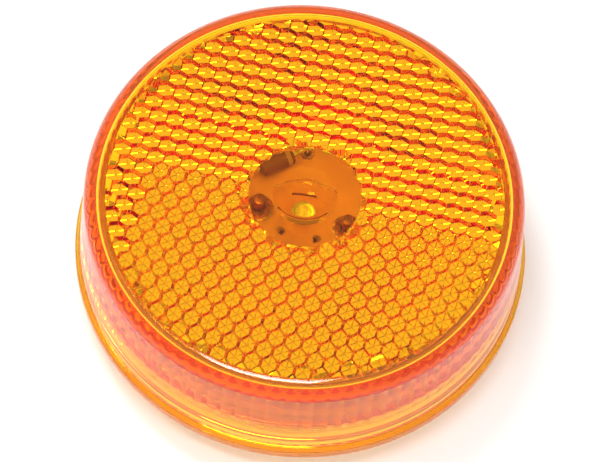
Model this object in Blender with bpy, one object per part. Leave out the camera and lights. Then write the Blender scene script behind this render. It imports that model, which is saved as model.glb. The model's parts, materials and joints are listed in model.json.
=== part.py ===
"""Round amber LED marker lamp with a reflex lens, as an assembly of separate pieces.

Metres, +Z up. The lamp lies on its back: the rear face is the plane Z = 0, the
lens looks up along +Z, and the rows of reflex prisms run along X.
"""

import math

import bmesh
import bpy

# Lens shell
LIP_DIAMETER = 0.0635
LIP_HEIGHT = 0.0020
LIP_ROUND = 0.0004
LIP_OVERHANG = 0.0006
LENS_HEIGHT = 0.0190
WALL_TAPER = 0.0005
RIM_ROUND = 0.0030
RIM_STEPS = 5
LENS_WALL = 0.0020
FACE_THICKNESS = 0.00155
MOUTH_DEPTH = 0.0060
MOUTH_LEDGE = 0.0007

# Reflex prism field, window and flutes of the lens
CELL_PITCH = 0.0024
PRISM_SKIN = 0.00005
CLEAR_RING = 0.0010
MOULD_MARGIN = 0.0005
STRIP_WIDTH = 0.0052
WINDOW_DIAMETER = 0.0157
BULLSEYE_DIAMETER = 0.0090
BULLSEYE_RISE = 0.0011
BULLSEYE_STEPS = 3
FLUTE_COUNT = 90
FLUTE_DEPTH = 0.0004
FLUTE_LAND = 0.00005
FLUTE_TOP_GAP = 0.0005

# Rear base
REAR_DEPTH = 0.0070
REAR_CHAMFER = 0.0005
REAR_STEP = 0.0008
WELD_GAP = 0.0002
BASE_WALL = 0.0046
BACK_PLATE = 0.0020
BEAD_COUNT = 2
BEAD_HEIGHT = 0.0003
BEAD_WIDTH = 0.0010
BEAD_SPACING = 0.0024
SOCKET_LENGTH = 0.0260
SOCKET_WIDTH = 0.0115
SOCKET_ROUND = 0.0030
SOCKET_WALL = 0.0020
SOCKET_FLOOR = 0.0020
WELL_WALL = 0.0014
SEAL_DEPTH = 0.0014
SEAL_GAP = 0.0002
POST_COUNT = 3
POST_DIAMETER = 0.0050
POST_START_DEGREES = 30
STAKE_DIAMETER = 0.0026
STAKE_HEAD_DIAMETER = 0.0046
STAKE_HEAD_HEIGHT = 0.0011

# Circuit board and the parts on it
BOARD_THICKNESS = 0.0016
BOARD_MARGIN = 0.0035
POST_INSET = 0.0040
SEAT_GAP = 0.0002
HOLE_GAP = 0.0002
LED_FLANGE_DIAMETER = 0.0086
LED_FLANGE_HEIGHT = 0.0010
LED_BODY_DIAMETER = 0.0070
LED_BODY_HEIGHT = 0.0026
LED_STAND_OFF = 0.0005
LED_DOME_RISE = 0.0019
LED_DOME_STEPS = 3
LED_CLEARANCE = 0.0012
LEAD_PITCH = 0.00508
LEAD_WIDTH = 0.0005
LEAD_SHOULDER = 0.0010
LEAD_GAP = 0.0001
LEAD_TAIL = 0.0008
TAIL_CLEARANCE = 0.0004
WIRE_DIAMETER = 0.0006
WIRE_BEND = 0.0008
BODY_LIFT = 0.0003

# Axial parts: body length, body diameter and the pitch of the bent legs
RESISTOR_LENGTH = 0.0063
RESISTOR_DIAMETER = 0.0023
RESISTOR_LEG_PITCH = 0.0090
BLOCKING_DIODE_LENGTH = 0.0052
BLOCKING_DIODE_DIAMETER = 0.0027
BLOCKING_DIODE_LEG_PITCH = 0.0100
SURGE_DIODE_LENGTH = 0.0070
SURGE_DIODE_DIAMETER = 0.0036
SURGE_DIODE_LEG_PITCH = 0.0110
WIRE_LINK_PITCH = 0.0100

# Where each axial part lies on the board: middle and direction
RESISTOR_ROW = 0.0090
RESISTOR_SPACING = 0.0112
RESISTOR_STAGGER = 0.0020
BLOCKING_DIODE_PLACE = (-0.0056, 0.0069, math.radians(40))
SURGE_DIODE_PLACE = (0.0095, -0.0155, 0.0)
WIRE_LINK_PLACE = (-0.0095, -0.0155, 0.0)

# Contact pins
PIN_PITCH = 0.0127
PIN_DIAMETER = 0.0040
PIN_NECK_DIAMETER = 0.0034
PIN_NECK_DEPTH = 0.0035
PIN_NECK_LENGTH = 0.0010
PIN_TIP_INSET = 0.0012
PIN_COLLAR_DIAMETER = 0.0058
PIN_COLLAR_HEIGHT = 0.0010
PIN_STEM_DIAMETER = 0.0019
PIN_STEM_RISE = 0.0030
SOLDER_DIAMETER = 0.0042
SOLDER_HEIGHT = 0.0009
SOLDER_GAP = 0.0001

# Facets round each kind of piece
LENS_SEGMENTS = 72
BASE_SEGMENTS = 60
PIN_SEGMENTS = 16
LED_SEGMENTS = 18
SMALL_SEGMENTS = 10
HOLE_SEGMENTS = 8
WIRE_SIDES = 6
CUT_PAST = 0.0010

# Radii and heights worked out from the sizes above
lip_radius = LIP_DIAMETER / 2
wall_foot_radius = lip_radius - LIP_OVERHANG
wall_top_radius = wall_foot_radius - WALL_TAPER
inner_radius = wall_top_radius - LENS_WALL
mouth_radius = inner_radius + MOUTH_LEDGE
reflex_radius = inner_radius - CLEAR_RING
window_radius = WINDOW_DIAMETER / 2
board_radius = inner_radius - BOARD_MARGIN
post_circle = board_radius - POST_INSET

lip_z = REAR_DEPTH
ledge_z = lip_z + MOUTH_DEPTH
face_z = lip_z + LENS_HEIGHT
under_z = face_z - FACE_THICKNESS
bullseye_z = under_z - BULLSEYE_RISE
led_top_z = bullseye_z - LED_CLEARANCE
led_body_z = led_top_z - LED_DOME_RISE - LED_BODY_HEIGHT
board_top_z = led_body_z - LED_STAND_OFF
board_z = board_top_z - BOARD_THICKNESS
well_top_z = board_z - LEAD_TAIL - TAIL_CLEARANCE
well_z = well_top_z - SEAL_DEPTH
socket_top_z = well_z - SOCKET_FLOOR

# A corner of a cube seen down its diagonal shows a hexagon: its near corners rise
# by one step above the apex, and its far corners by two
cell_corner_radius = CELL_PITCH / math.sqrt(3)
prism_step = CELL_PITCH / math.sqrt(6)
apex_z = under_z - PRISM_SKIN - 2 * prism_step
boss_z = apex_z - CUT_PAST / 2


def clear_scene():
    for obj in list(bpy.data.objects):
        bpy.data.objects.remove(obj)


def plastic(name, colour, roughness, metallic=0.0, clear=0.0):
    """A Principled material; clear is the share of light that passes through."""
    mat = bpy.data.materials.new(name)
    mat.use_nodes = True
    shader = mat.node_tree.nodes["Principled BSDF"]
    shader.inputs["Base Color"].default_value = (*colour, 1.0)
    shader.inputs["Roughness"].default_value = roughness
    shader.inputs["Metallic"].default_value = metallic
    shader.inputs["Transmission Weight"].default_value = clear
    mat.diffuse_color = (*colour, 1.0)
    return mat


def finish(bm, name):
    """Turns a bmesh into a smooth-shaded mesh with its faces pointing out."""
    bmesh.ops.recalc_face_normals(bm, faces=bm.faces)
    mesh = bpy.data.meshes.new(name)
    bm.to_mesh(mesh)
    bm.free()
    mesh.shade_smooth()
    mesh.set_sharp_from_angle(angle=math.radians(30))
    return mesh


def node(name, mesh, mat, location=(0, 0, 0), turn=0.0):
    """One named piece of the lamp, standing under the assembly's empty."""
    obj = bpy.data.objects.new(name, mesh)
    bpy.context.scene.collection.objects.link(obj)
    if not mesh.materials:
        mesh.materials.append(mat)
    obj.location = location
    obj.rotation_euler = (0, 0, turn)
    obj.parent = assembly
    return obj


def helper(mesh, location=(0, 0, 0), turn=0.0):
    """A shape that only cuts or joins other pieces."""
    obj = bpy.data.objects.new(mesh.name, mesh)
    bpy.context.scene.collection.objects.link(obj)
    obj.location = location
    obj.rotation_euler = (0, 0, turn)
    obj.parent = assembly
    obj.hide_render = True
    obj.display_type = "WIRE"
    return obj


def combine(obj, other, operation, solver="EXACT"):
    step = obj.modifiers.new(operation.lower() + "_" + other.name, "BOOLEAN")
    step.operation = operation
    step.solver = solver
    step.object = other


def cut(obj, mesh):
    """Takes a tool's shape away from a piece."""
    combine(obj, helper(mesh), "DIFFERENCE")


def lathe(name, outline, segments, along_x=False):
    """Turns a closed outline of (radius, height) points about Z, or about X.

    A flat end is one face, and a pointed or domed end closes on a point.
    """
    bm = bmesh.new()
    rings = []
    for radius, height in outline:
        count = segments if radius > 0 else 1
        ring = []
        for k in range(count):
            angle = 2 * math.pi * k / segments
            across, up = radius * math.cos(angle), radius * math.sin(angle)
            point = (height, across, up) if along_x else (across, up, height)
            ring.append(bm.verts.new(point))
        rings.append(ring)
    heights = [height for radius, height in outline]
    for k, low in enumerate(rings):
        after = (k + 1) % len(rings)
        high = rings[after]
        level = heights[k] == heights[after]
        if 1 in (len(low), len(high)) and level:
            bm.faces.new(max(low, high, key=len))
        elif len(low) + len(high) > 2:
            add_band(bm, low, high, segments)
    bmesh.ops.delete(bm, geom=[v for v in bm.verts if not v.link_faces], context="VERTS")
    return finish(bm, name)


def add_band(bm, low, high, segments):
    """Faces between two rings, either of which may be a single point."""
    for k in range(segments):
        turns = ((low, k), (low, k + 1), (high, k + 1), (high, k))
        corners = [ring[i % len(ring)] for ring, i in turns]
        bm.faces.new(list(dict.fromkeys(corners)))


def extrude(name, outlines, bottom, top):
    """Straight blocks over closed outlines of (x, y) points."""
    bm = bmesh.new()
    for outline in outlines:
        floor = [bm.verts.new((x, y, bottom)) for x, y in outline]
        roof = [bm.verts.new((x, y, top)) for x, y in outline]
        bm.faces.new(floor)
        bm.faces.new(roof)
        for k in range(len(outline)):
            after = (k + 1) % len(outline)
            bm.faces.new((floor[k], floor[after], roof[after], roof[k]))
    return finish(bm, name)


def circle(radius, segments, centre=(0.0, 0.0)):
    angles = [2 * math.pi * k / segments for k in range(segments)]
    return [(centre[0] + radius * math.cos(a), centre[1] + radius * math.sin(a)) for a in angles]


def arc(centre, radius, start, end, steps):
    """Points on an arc, both ends included, with angles in degrees."""
    angles = [math.radians(start + (end - start) * k / steps) for k in range(steps + 1)]
    return [(centre[0] + radius * math.cos(a), centre[1] + radius * math.sin(a)) for a in angles]


def rounded_rectangle(length, width, corner, steps=4):
    across, along = length / 2 - corner, width / 2 - corner
    points = []
    for quarter, (sx, sy) in enumerate(((1, 1), (-1, 1), (-1, -1), (1, -1))):
        points += arc((sx * across, sy * along), corner, 90 * quarter, 90 * quarter + 90, steps)
    return points


def wire(name, path, radius):
    """A round wire along a path of (x, z) points in the XZ plane."""
    bm = bmesh.new()
    rings = []
    last = len(path) - 1
    for k, (x, z) in enumerate(path):
        before, after = path[max(k - 1, 0)], path[min(k + 1, last)]
        run, rise = after[0] - before[0], after[1] - before[1]
        size = math.hypot(run, rise)
        side = (-rise / size, run / size)
        ring = []
        for s in range(WIRE_SIDES):
            angle = 2 * math.pi * s / WIRE_SIDES
            off = radius * math.cos(angle)
            point = (x + off * side[0], radius * math.sin(angle), z + off * side[1])
            ring.append(bm.verts.new(point))
        rings.append(ring)
    for low, high in zip(rings, rings[1:]):
        for s in range(WIRE_SIDES):
            after = (s + 1) % WIRE_SIDES
            bm.faces.new((low[s], low[after], high[after], high[s]))
    bm.faces.new(rings[0])
    bm.faces.new(rings[-1])
    return finish(bm, name)


def bent_legs(name, pitch, height):
    """A wire that runs level at a height over the board and bends down through it."""
    half = pitch / 2
    tail = board_z - LEAD_TAIL
    right = arc((half - WIRE_BEND, height - WIRE_BEND), WIRE_BEND, 90, 0, 3)
    left = [(-x, z) for x, z in reversed(right)]
    return wire(name, [(-half, tail)] + left + right + [(half, tail)], WIRE_DIAMETER / 2)


def lens_outline():
    """Half section of the lens from the face's middle outwards, with no prisms or flutes yet."""
    draft = math.degrees(math.atan2(WALL_TAPER, LENS_HEIGHT - LIP_HEIGHT - RIM_ROUND))
    rim_centre = (wall_top_radius - RIM_ROUND, face_z - RIM_ROUND)
    lip_top = (lip_radius - LIP_ROUND, lip_z + LIP_HEIGHT - LIP_ROUND)
    lip_foot = (lip_radius - LIP_ROUND, lip_z + LIP_ROUND)
    outline = [(0, face_z)]
    outline += arc(rim_centre, RIM_ROUND, 90, draft, RIM_STEPS)
    outline += [(wall_foot_radius, lip_z + LIP_HEIGHT)]
    outline += arc(lip_top, LIP_ROUND, 90, 0, 2)
    outline += arc(lip_foot, LIP_ROUND, 0, -90, 2)
    outline += [(mouth_radius, lip_z), (mouth_radius, ledge_z)]
    outline += [(inner_radius, ledge_z), (inner_radius, under_z)]
    outline += [(reflex_radius, under_z), (reflex_radius, boss_z)]
    outline += [(window_radius, boss_z), (window_radius, under_z)]
    outline += bullseye_outline()
    return outline


def bullseye_outline():
    """The shallow bulge under the window, a part of a circle from its edge to its middle."""
    half = BULLSEYE_DIAMETER / 2
    radius = (half**2 + BULLSEYE_RISE**2) / (2 * BULLSEYE_RISE)
    spread = math.degrees(math.asin(half / radius))
    centre = (0, bullseye_z + radius)
    points = arc(centre, radius, spread - 90, -90, BULLSEYE_STEPS)
    return points[:-1] + [(0, bullseye_z)]


def cell_turned(column, row):
    """True where a cell is turned half a turn: the near half, but for a strip at its left."""
    x = (2 * column + row % 2) * CELL_PITCH / 2
    return row < 0 and x >= STRIP_WIDTH - reflex_radius


def reflex_mould(reach):
    """The tool that presses the prisms: hexagonal pins with cube-corner tops, pointing up.

    Corners of the hexagons lie on a grid of half pitches by half corner radii, so
    neighbours find the corners that they share by whole numbers. Where a cell meets
    one that is turned, the shared corners exchange heights and a small upright wall
    joins the two.
    """
    step_x, step_y = CELL_PITCH / 2, cell_corner_radius / 2
    six = ((1, 1), (0, 2), (-1, 1), (-1, -1), (0, -2), (1, -1))
    rows = math.ceil(reach / (3 * step_y)) + 1
    columns = math.ceil(reach / CELL_PITCH) + 1
    cells = {}
    for row in range(-rows, rows):
        for column in range(-columns, columns):
            centre = (2 * column + row % 2, 3 * row)
            if math.hypot(centre[0] * step_x, (centre[1] + 1.5) * step_y) < reach:
                cells[centre] = cell_turned(column, row)
    shared = {}
    for u, v in cells:
        for du, dv in six:
            shared[u + du, v + dv] = shared.get((u + du, v + dv), 0) + 1

    bm = bmesh.new()
    made = {}

    def vertex(u, v, rise, kind):
        key = (u, v, kind)
        if key not in made:
            made[key] = bm.verts.new((u * step_x, (v + 1.5) * step_y, apex_z + rise))
        return made[key]

    def corner(centre, k, turned):
        u, v = centre[0] + six[k][0], centre[1] + six[k][1]
        if shared[u, v] < 3:
            return vertex(u, v, prism_step, "edge")
        near = (k % 2 == 1) != turned
        return vertex(u, v, prism_step if near else 2 * prism_step, "near" if near else "far")

    def neighbour(centre, k):
        """The cell across the side from corner k to the next corner."""
        u = centre[0] + six[k][0] + six[(k + 1) % 6][0]
        v = centre[1] + six[k][1] + six[(k + 1) % 6][1]
        return u, v

    def middle(centre, k, turned):
        """The point where a side crosses that of a turned neighbour, or None."""
        other = cells.get(neighbour(centre, k))
        ends = [(centre[0] + six[i % 6][0], centre[1] + six[i % 6][1]) for i in (k, k + 1)]
        if other is None or other == turned or min(shared[end] for end in ends) < 3:
            return None
        u, v = (ends[0][0] + ends[1][0]) / 2, (ends[0][1] + ends[1][1]) / 2
        return vertex(u, v, 1.5 * prism_step, "middle")

    for centre, turned in cells.items():
        ring = [corner(centre, k, turned) for k in range(6)]
        mids = [middle(centre, k, turned) for k in range(6)]
        apex = vertex(*centre, 0, "apex")
        first = 0 if turned else 1
        for k in (first, first + 2, first + 4):
            b, c = (k + 1) % 6, (k + 2) % 6
            face = [apex, ring[k], mids[k], ring[b], mids[b], ring[c]]
            bm.faces.new([v for v in face if v])
        floor = boss_z - CUT_PAST - apex_z
        foot = [vertex(centre[0] + du, centre[1] + dv, floor, "foot") for du, dv in six]
        bm.faces.new(foot)
        for k in range(6):
            after = (k + 1) % 6
            other = cells.get(neighbour(centre, k))
            if other is None:
                bm.faces.new((foot[k], foot[after], ring[after], ring[k]))
            elif turned and not other:
                for this, that in ((k, after), (after, k)):
                    theirs = corner(centre, this, not turned)
                    if ring[this] is not theirs:
                        bm.faces.new((ring[this], theirs, mids[k] or ring[that]))
    return finish(bm, "reflex_mould")


def flute_ring():
    """A ring with a pointed outside, which leaves upright flutes in the lens's wall."""
    bm = bmesh.new()
    bottom, top = ledge_z - CUT_PAST, under_z - FLUTE_TOP_GAP
    valley = inner_radius - FLUTE_LAND
    inside = inner_radius - CLEAR_RING / 4
    outer, inner = [], []
    for k in range(2 * FLUTE_COUNT):
        angle = math.pi * k / FLUTE_COUNT
        radius = valley if k % 2 else inner_radius + FLUTE_DEPTH
        across, up = math.cos(angle), math.sin(angle)
        outer.append([bm.verts.new((radius * across, radius * up, z)) for z in (bottom, top)])
        inner.append([bm.verts.new((inside * across, inside * up, z)) for z in (bottom, top)])
    for k in range(2 * FLUTE_COUNT):
        after = (k + 1) % (2 * FLUTE_COUNT)
        bm.faces.new((outer[k][0], outer[after][0], outer[after][1], outer[k][1]))
        bm.faces.new((inner[k][0], inner[after][0], inner[after][1], inner[k][1]))
        for end in (0, 1):
            bm.faces.new((outer[k][end], outer[after][end], inner[after][end], inner[k][end]))
    return finish(bm, "flute_ring")


def make_lens():
    """The amber cup: face, rounded rim, tapered wall and lip, with prisms and flutes inside."""
    lens = node("lens", lathe("lens", lens_outline(), LENS_SEGMENTS), amber)
    mould = helper(reflex_mould(reflex_radius + CELL_PITCH + cell_corner_radius))
    disc = circle(reflex_radius + MOULD_MARGIN, LENS_SEGMENTS)
    mould_disc = helper(extrude("mould_disc", [disc], boss_z - CUT_PAST / 2, under_z))
    combine(mould, mould_disc, "INTERSECT", "MANIFOLD")
    combine(lens, mould, "DIFFERENCE", "MANIFOLD")
    combine(lens, helper(flute_ring()), "DIFFERENCE", "MANIFOLD")


def base_outline():
    """Half section of the rear base: back plate, narrower rear and weld ring with its beads."""
    bead_radius = mouth_radius - WELD_GAP
    ring_radius = bead_radius - BEAD_HEIGHT
    rear_radius = ring_radius - REAR_STEP
    top = ledge_z - WELD_GAP
    outline = [(0, 0), (rear_radius - REAR_CHAMFER, 0), (rear_radius, REAR_CHAMFER)]
    beads = []
    for k in range(BEAD_COUNT):
        start = top - BEAD_SPACING / 2 - k * BEAD_SPACING
        beads += [(ring_radius, start), (bead_radius, start - BEAD_HEIGHT)]
        beads += [(bead_radius, start - BEAD_WIDTH), (ring_radius, start - BEAD_WIDTH - BEAD_HEIGHT)]
    foot = beads[-1][1] - BEAD_SPACING / 4
    outline += [(rear_radius, foot - REAR_STEP), (ring_radius, foot)] + beads[::-1]
    inside = ring_radius - BASE_WALL
    outline += [(ring_radius, top), (inside, top), (inside, BACK_PLATE), (0, BACK_PLATE)]
    return outline


def post_outline():
    """Half section of a board post: seat, stake through the board and the formed head."""
    stake, head = STAKE_DIAMETER / 2, STAKE_HEAD_DIAMETER / 2
    head_z = board_top_z + SEAT_GAP
    return [
        (0, BACK_PLATE / 2),
        (POST_DIAMETER / 2, BACK_PLATE / 2),
        (POST_DIAMETER / 2, board_z - SEAT_GAP),
        (stake, board_z - SEAT_GAP),
        (stake, head_z),
        (head, head_z),
        (head, head_z + STAKE_HEAD_HEIGHT / 3),
        (head / 2, head_z + STAKE_HEAD_HEIGHT),
        (0, head_z + STAKE_HEAD_HEIGHT),
    ]


def post_places():
    """The posts stand evenly on one circle."""
    start = math.radians(POST_START_DEGREES)
    angles = [start + 2 * math.pi * k / POST_COUNT for k in range(POST_COUNT)]
    return [(post_circle * math.cos(a), post_circle * math.sin(a)) for a in angles]


def make_base():
    """The rear moulding: plate, weld ring, plug socket with its seal well, and board posts."""
    base = node("rear_base", lathe("rear_base", base_outline(), BASE_SEGMENTS), amber_base)
    walls = 2 * SOCKET_WALL
    box = rounded_rectangle(SOCKET_LENGTH + walls, SOCKET_WIDTH + walls, SOCKET_ROUND + SOCKET_WALL)
    combine(base, helper(extrude("socket_box", [box], BACK_PLATE / 2, well_top_z)), "UNION")
    for x, y in post_places():
        post = lathe("board_post", post_outline(), SMALL_SEGMENTS)
        combine(base, helper(post, (x, y, 0)), "UNION")
    recess = rounded_rectangle(SOCKET_LENGTH, SOCKET_WIDTH, SOCKET_ROUND)
    cut(base, extrude("socket_recess", [recess], -CUT_PAST, socket_top_z))
    cut(base, extrude("seal_well", [well_shape(0)], well_z, well_top_z + CUT_PAST))
    cut(base, extrude("base_holes", pin_holes(), socket_top_z - CUT_PAST, well_z + CUT_PAST))


def well_shape(gap):
    """Outline of the seal well over the socket, drawn in by a gap for what fills it."""
    inset = 2 * (SOCKET_WALL - WELL_WALL) - 2 * gap
    return rounded_rectangle(SOCKET_LENGTH + inset, SOCKET_WIDTH + inset, SOCKET_ROUND + inset / 2)


def make_seal():
    """The cured sealing compound in the well, moulded round both pins."""
    block = extrude("epoxy_seal", [well_shape(SEAL_GAP)], well_z + SEAL_GAP, well_top_z - SEAL_GAP)
    seal = node("epoxy_seal", block, compound)
    cut(seal, extrude("seal_holes", pin_holes(), well_z - CUT_PAST, well_top_z + CUT_PAST))


def pin_places():
    return {"left": -PIN_PITCH / 2, "right": PIN_PITCH / 2}


def pin_holes():
    """Outlines of the clearance holes for both pin stems."""
    radius = PIN_STEM_DIAMETER / 2 + HOLE_GAP
    return [circle(radius, PIN_SEGMENTS, (x, 0)) for x in pin_places().values()]


def pin_outline():
    """Half section of a contact pin: bullet tip, detent neck, collar and stem."""
    body, neck = PIN_DIAMETER / 2, PIN_NECK_DIAMETER / 2
    collar, stem = PIN_COLLAR_DIAMETER / 2, PIN_STEM_DIAMETER / 2
    neck_z = PIN_TIP_INSET + PIN_NECK_DEPTH
    slope = body - neck
    collar_top = socket_top_z - SEAT_GAP
    top = board_top_z + PIN_STEM_RISE
    tip = arc((0, PIN_TIP_INSET + body), body, -90, 0, 4)
    return [(0, PIN_TIP_INSET)] + tip[1:] + [
        (body, neck_z - slope),
        (neck, neck_z),
        (neck, neck_z + PIN_NECK_LENGTH),
        (body, neck_z + PIN_NECK_LENGTH + slope),
        (body, collar_top - PIN_COLLAR_HEIGHT),
        (collar, collar_top - PIN_COLLAR_HEIGHT),
        (collar, collar_top),
        (stem, collar_top),
        (stem, top - stem / 3),
        (2 * stem / 3, top),
        (0, top),
    ]


def solder_outline():
    """Half section of the solder fillet round a pin's stem on top of the board."""
    inside = PIN_STEM_DIAMETER / 2 + SOLDER_GAP
    foot = board_top_z + SOLDER_GAP
    top = foot + SOLDER_HEIGHT
    return [
        (inside, foot),
        (SOLDER_DIAMETER / 2, foot),
        ((inside + SOLDER_DIAMETER / 2) / 2, foot + SOLDER_HEIGHT / 3),
        (inside + SOLDER_GAP, top),
        (inside, top),
    ]


def make_pins():
    pin = lathe("contact_pin", pin_outline(), PIN_SEGMENTS)
    fillet = lathe("pin_solder", solder_outline(), PIN_SEGMENTS)
    for name, x in pin_places().items():
        node(f"contact_pin_{name}", pin, brass, (x, 0, 0))
        node(f"pin_solder_{name}", fillet, solder, (x, 0, 0))


def led_corners():
    half = LEAD_PITCH / 2
    return [(half, half), (-half, half), (-half, -half), (half, -half)]


def led_outline():
    """Half section of the light source: flange, round body and dome, from its foot upwards."""
    flange, half = LED_FLANGE_DIAMETER / 2, LED_BODY_DIAMETER / 2
    flange_top, body_top = led_body_z + LED_FLANGE_HEIGHT, led_body_z + LED_BODY_HEIGHT
    radius = (half**2 + LED_DOME_RISE**2) / (2 * LED_DOME_RISE)
    spread = math.degrees(math.asin(min(1.0, half / radius)))
    dome = arc((0, led_top_z - radius), radius, 90 - spread, 90, LED_DOME_STEPS)
    outline = [(0, led_body_z), (flange, led_body_z), (flange, flange_top), (half, flange_top)]
    return outline + [(half, body_top)] + dome[1:-1] + [(0, led_top_z)]


def make_led():
    """The light source: a round package with a flange and a dome, on four shouldered leads."""
    node("led_package", lathe("led_package", led_outline(), LED_SEGMENTS), led_resin)
    lead = led_lead()
    for k, (x, y) in enumerate(led_corners()):
        node(f"led_lead_{k + 1}", lead, tinned, (x, y, 0))


def led_lead():
    """A flat lead: a wide shoulder that sets the height, and a tail through the board."""
    shoulder, tail = LEAD_SHOULDER / 2, LEAD_WIDTH / 2
    top, seat = led_body_z - LEAD_GAP, board_top_z + LEAD_GAP
    end = board_z - LEAD_TAIL
    outline = [(-shoulder, top), (-shoulder, seat), (-tail, seat), (-tail, end)]
    outline += [(-x, z) for x, z in reversed(outline)]
    bm = bmesh.new()
    front = [bm.verts.new((x, -tail, z)) for x, z in outline]
    back = [bm.verts.new((x, tail, z)) for x, z in outline]
    bm.faces.new(front)
    bm.faces.new(back)
    for k in range(len(outline)):
        after = (k + 1) % len(outline)
        bm.faces.new((front[k], front[after], back[after], back[k]))
    return finish(bm, "led_lead")


def resistor_places():
    """Three in a row along X, with the middle one set back."""
    places = []
    for k in (-1, 0, 1):
        stagger = RESISTOR_STAGGER if k == 0 else 0.0
        places.append((k * RESISTOR_SPACING, -RESISTOR_ROW - stagger, 0.0))
    return places


def axial_part(name, length, diameter, leg_pitch, ends, place, mat):
    """A turned body on a bent wire; ends is how far each end cap swells past the middle."""
    radius, half, cap = diameter / 2, length / 2, length / 8
    height = board_top_z + BODY_LIFT + radius
    waist = radius - ends
    outline = [(0, -half), (waist, -half), (radius, -half + cap / 2), (radius, -half + 1.5 * cap)]
    if ends > 0:
        outline += [(waist, -half + 2 * cap), (waist, half - 2 * cap)]
    outline += [(radius, half - 1.5 * cap), (radius, half - cap / 2), (waist, half), (0, half)]
    x, y, turn = place
    part = node(name, lathe(name, outline, SMALL_SEGMENTS, along_x=True), mat, (x, y, height), turn)
    combine(part, helper(bent_legs(f"{name}_legs", leg_pitch, height), (x, y, 0), turn), "UNION")


def make_axial_parts():
    swell = RESISTOR_DIAMETER / 12
    for k, place in enumerate(resistor_places()):
        name = f"resistor_{k + 1}"
        axial_part(name, RESISTOR_LENGTH, RESISTOR_DIAMETER, RESISTOR_LEG_PITCH, swell, place, ceramic)
    axial_part("blocking_diode", BLOCKING_DIODE_LENGTH, BLOCKING_DIODE_DIAMETER,
               BLOCKING_DIODE_LEG_PITCH, 0.0, BLOCKING_DIODE_PLACE, black)
    axial_part("surge_diode", SURGE_DIODE_LENGTH, SURGE_DIODE_DIAMETER,
               SURGE_DIODE_LEG_PITCH, 0.0, SURGE_DIODE_PLACE, black)
    link_height = board_top_z + BODY_LIFT + WIRE_DIAMETER / 2 + WIRE_BEND
    x, y, turn = WIRE_LINK_PLACE
    node("wire_link", bent_legs("wire_link", WIRE_LINK_PITCH, link_height), tinned, (x, y, 0), turn)


def leg_places():
    """Where bent legs pass through the board."""
    parts = [(place, RESISTOR_LEG_PITCH) for place in resistor_places()]
    parts += [(BLOCKING_DIODE_PLACE, BLOCKING_DIODE_LEG_PITCH)]
    parts += [(SURGE_DIODE_PLACE, SURGE_DIODE_LEG_PITCH)]
    parts += [(WIRE_LINK_PLACE, WIRE_LINK_PITCH)]
    places = []
    for (x, y, turn), pitch in parts:
        for side in (-0.5, 0.5):
            places.append((x + side * pitch * math.cos(turn), y + side * pitch * math.sin(turn)))
    return places


def make_board():
    """The round board, drilled for the stakes, the pins and every lead."""
    blank = extrude("circuit_board", [circle(board_radius, BASE_SEGMENTS)], board_z, board_top_z)
    board = node("circuit_board", blank, laminate)
    lead_reach = LEAD_WIDTH / math.sqrt(2)
    holes = [circle(STAKE_DIAMETER / 2 + HOLE_GAP, SMALL_SEGMENTS, place) for place in post_places()]
    holes += pin_holes()
    holes += [circle(lead_reach + HOLE_GAP, HOLE_SEGMENTS, place) for place in led_corners()]
    holes += [circle(WIRE_DIAMETER / 2 + HOLE_GAP, HOLE_SEGMENTS, place) for place in leg_places()]
    cut(board, extrude("board_holes", holes, board_z - CUT_PAST, board_top_z + CUT_PAST))


clear_scene()
assembly = bpy.data.objects.new("marker_lamp", None)
bpy.context.scene.collection.objects.link(assembly)

amber = plastic("amber lens", (0.90, 0.34, 0.02), 0.05, clear=0.8)
amber_base = plastic("amber base", (0.85, 0.30, 0.03), 0.30)
compound = plastic("sealing compound", (0.03, 0.03, 0.03), 0.45)
laminate = plastic("board laminate", (0.75, 0.70, 0.58), 0.50)
brass = plastic("tinned brass", (0.80, 0.72, 0.52), 0.25, metallic=1.0)
solder = plastic("solder", (0.70, 0.70, 0.72), 0.30, metallic=1.0)
tinned = plastic("tinned wire", (0.78, 0.78, 0.80), 0.28, metallic=1.0)
led_resin = plastic("clear resin", (0.95, 0.85, 0.55), 0.08, clear=0.7)
ceramic = plastic("resistor coating", (0.70, 0.58, 0.40), 0.45)
black = plastic("black moulding", (0.02, 0.02, 0.02), 0.40)

make_lens()
make_base()
make_seal()
make_board()
make_pins()
make_led()
make_axial_parts()
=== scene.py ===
# %% [markdown]
# # A round amber marker lamp
#
# The lamp is a shallow cup of clear amber plastic, closed at the back by a moulded base.
# Its lens works twice. A round window lets the diode behind it shine out, and a field of
# small cube corners sends the light of other vehicles straight back. Nearly all that the
# eye sees is light that has turned round inside the plastic, so the lens is built here as
# a true closed solid, and the colours are left to the path that the light takes.

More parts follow.
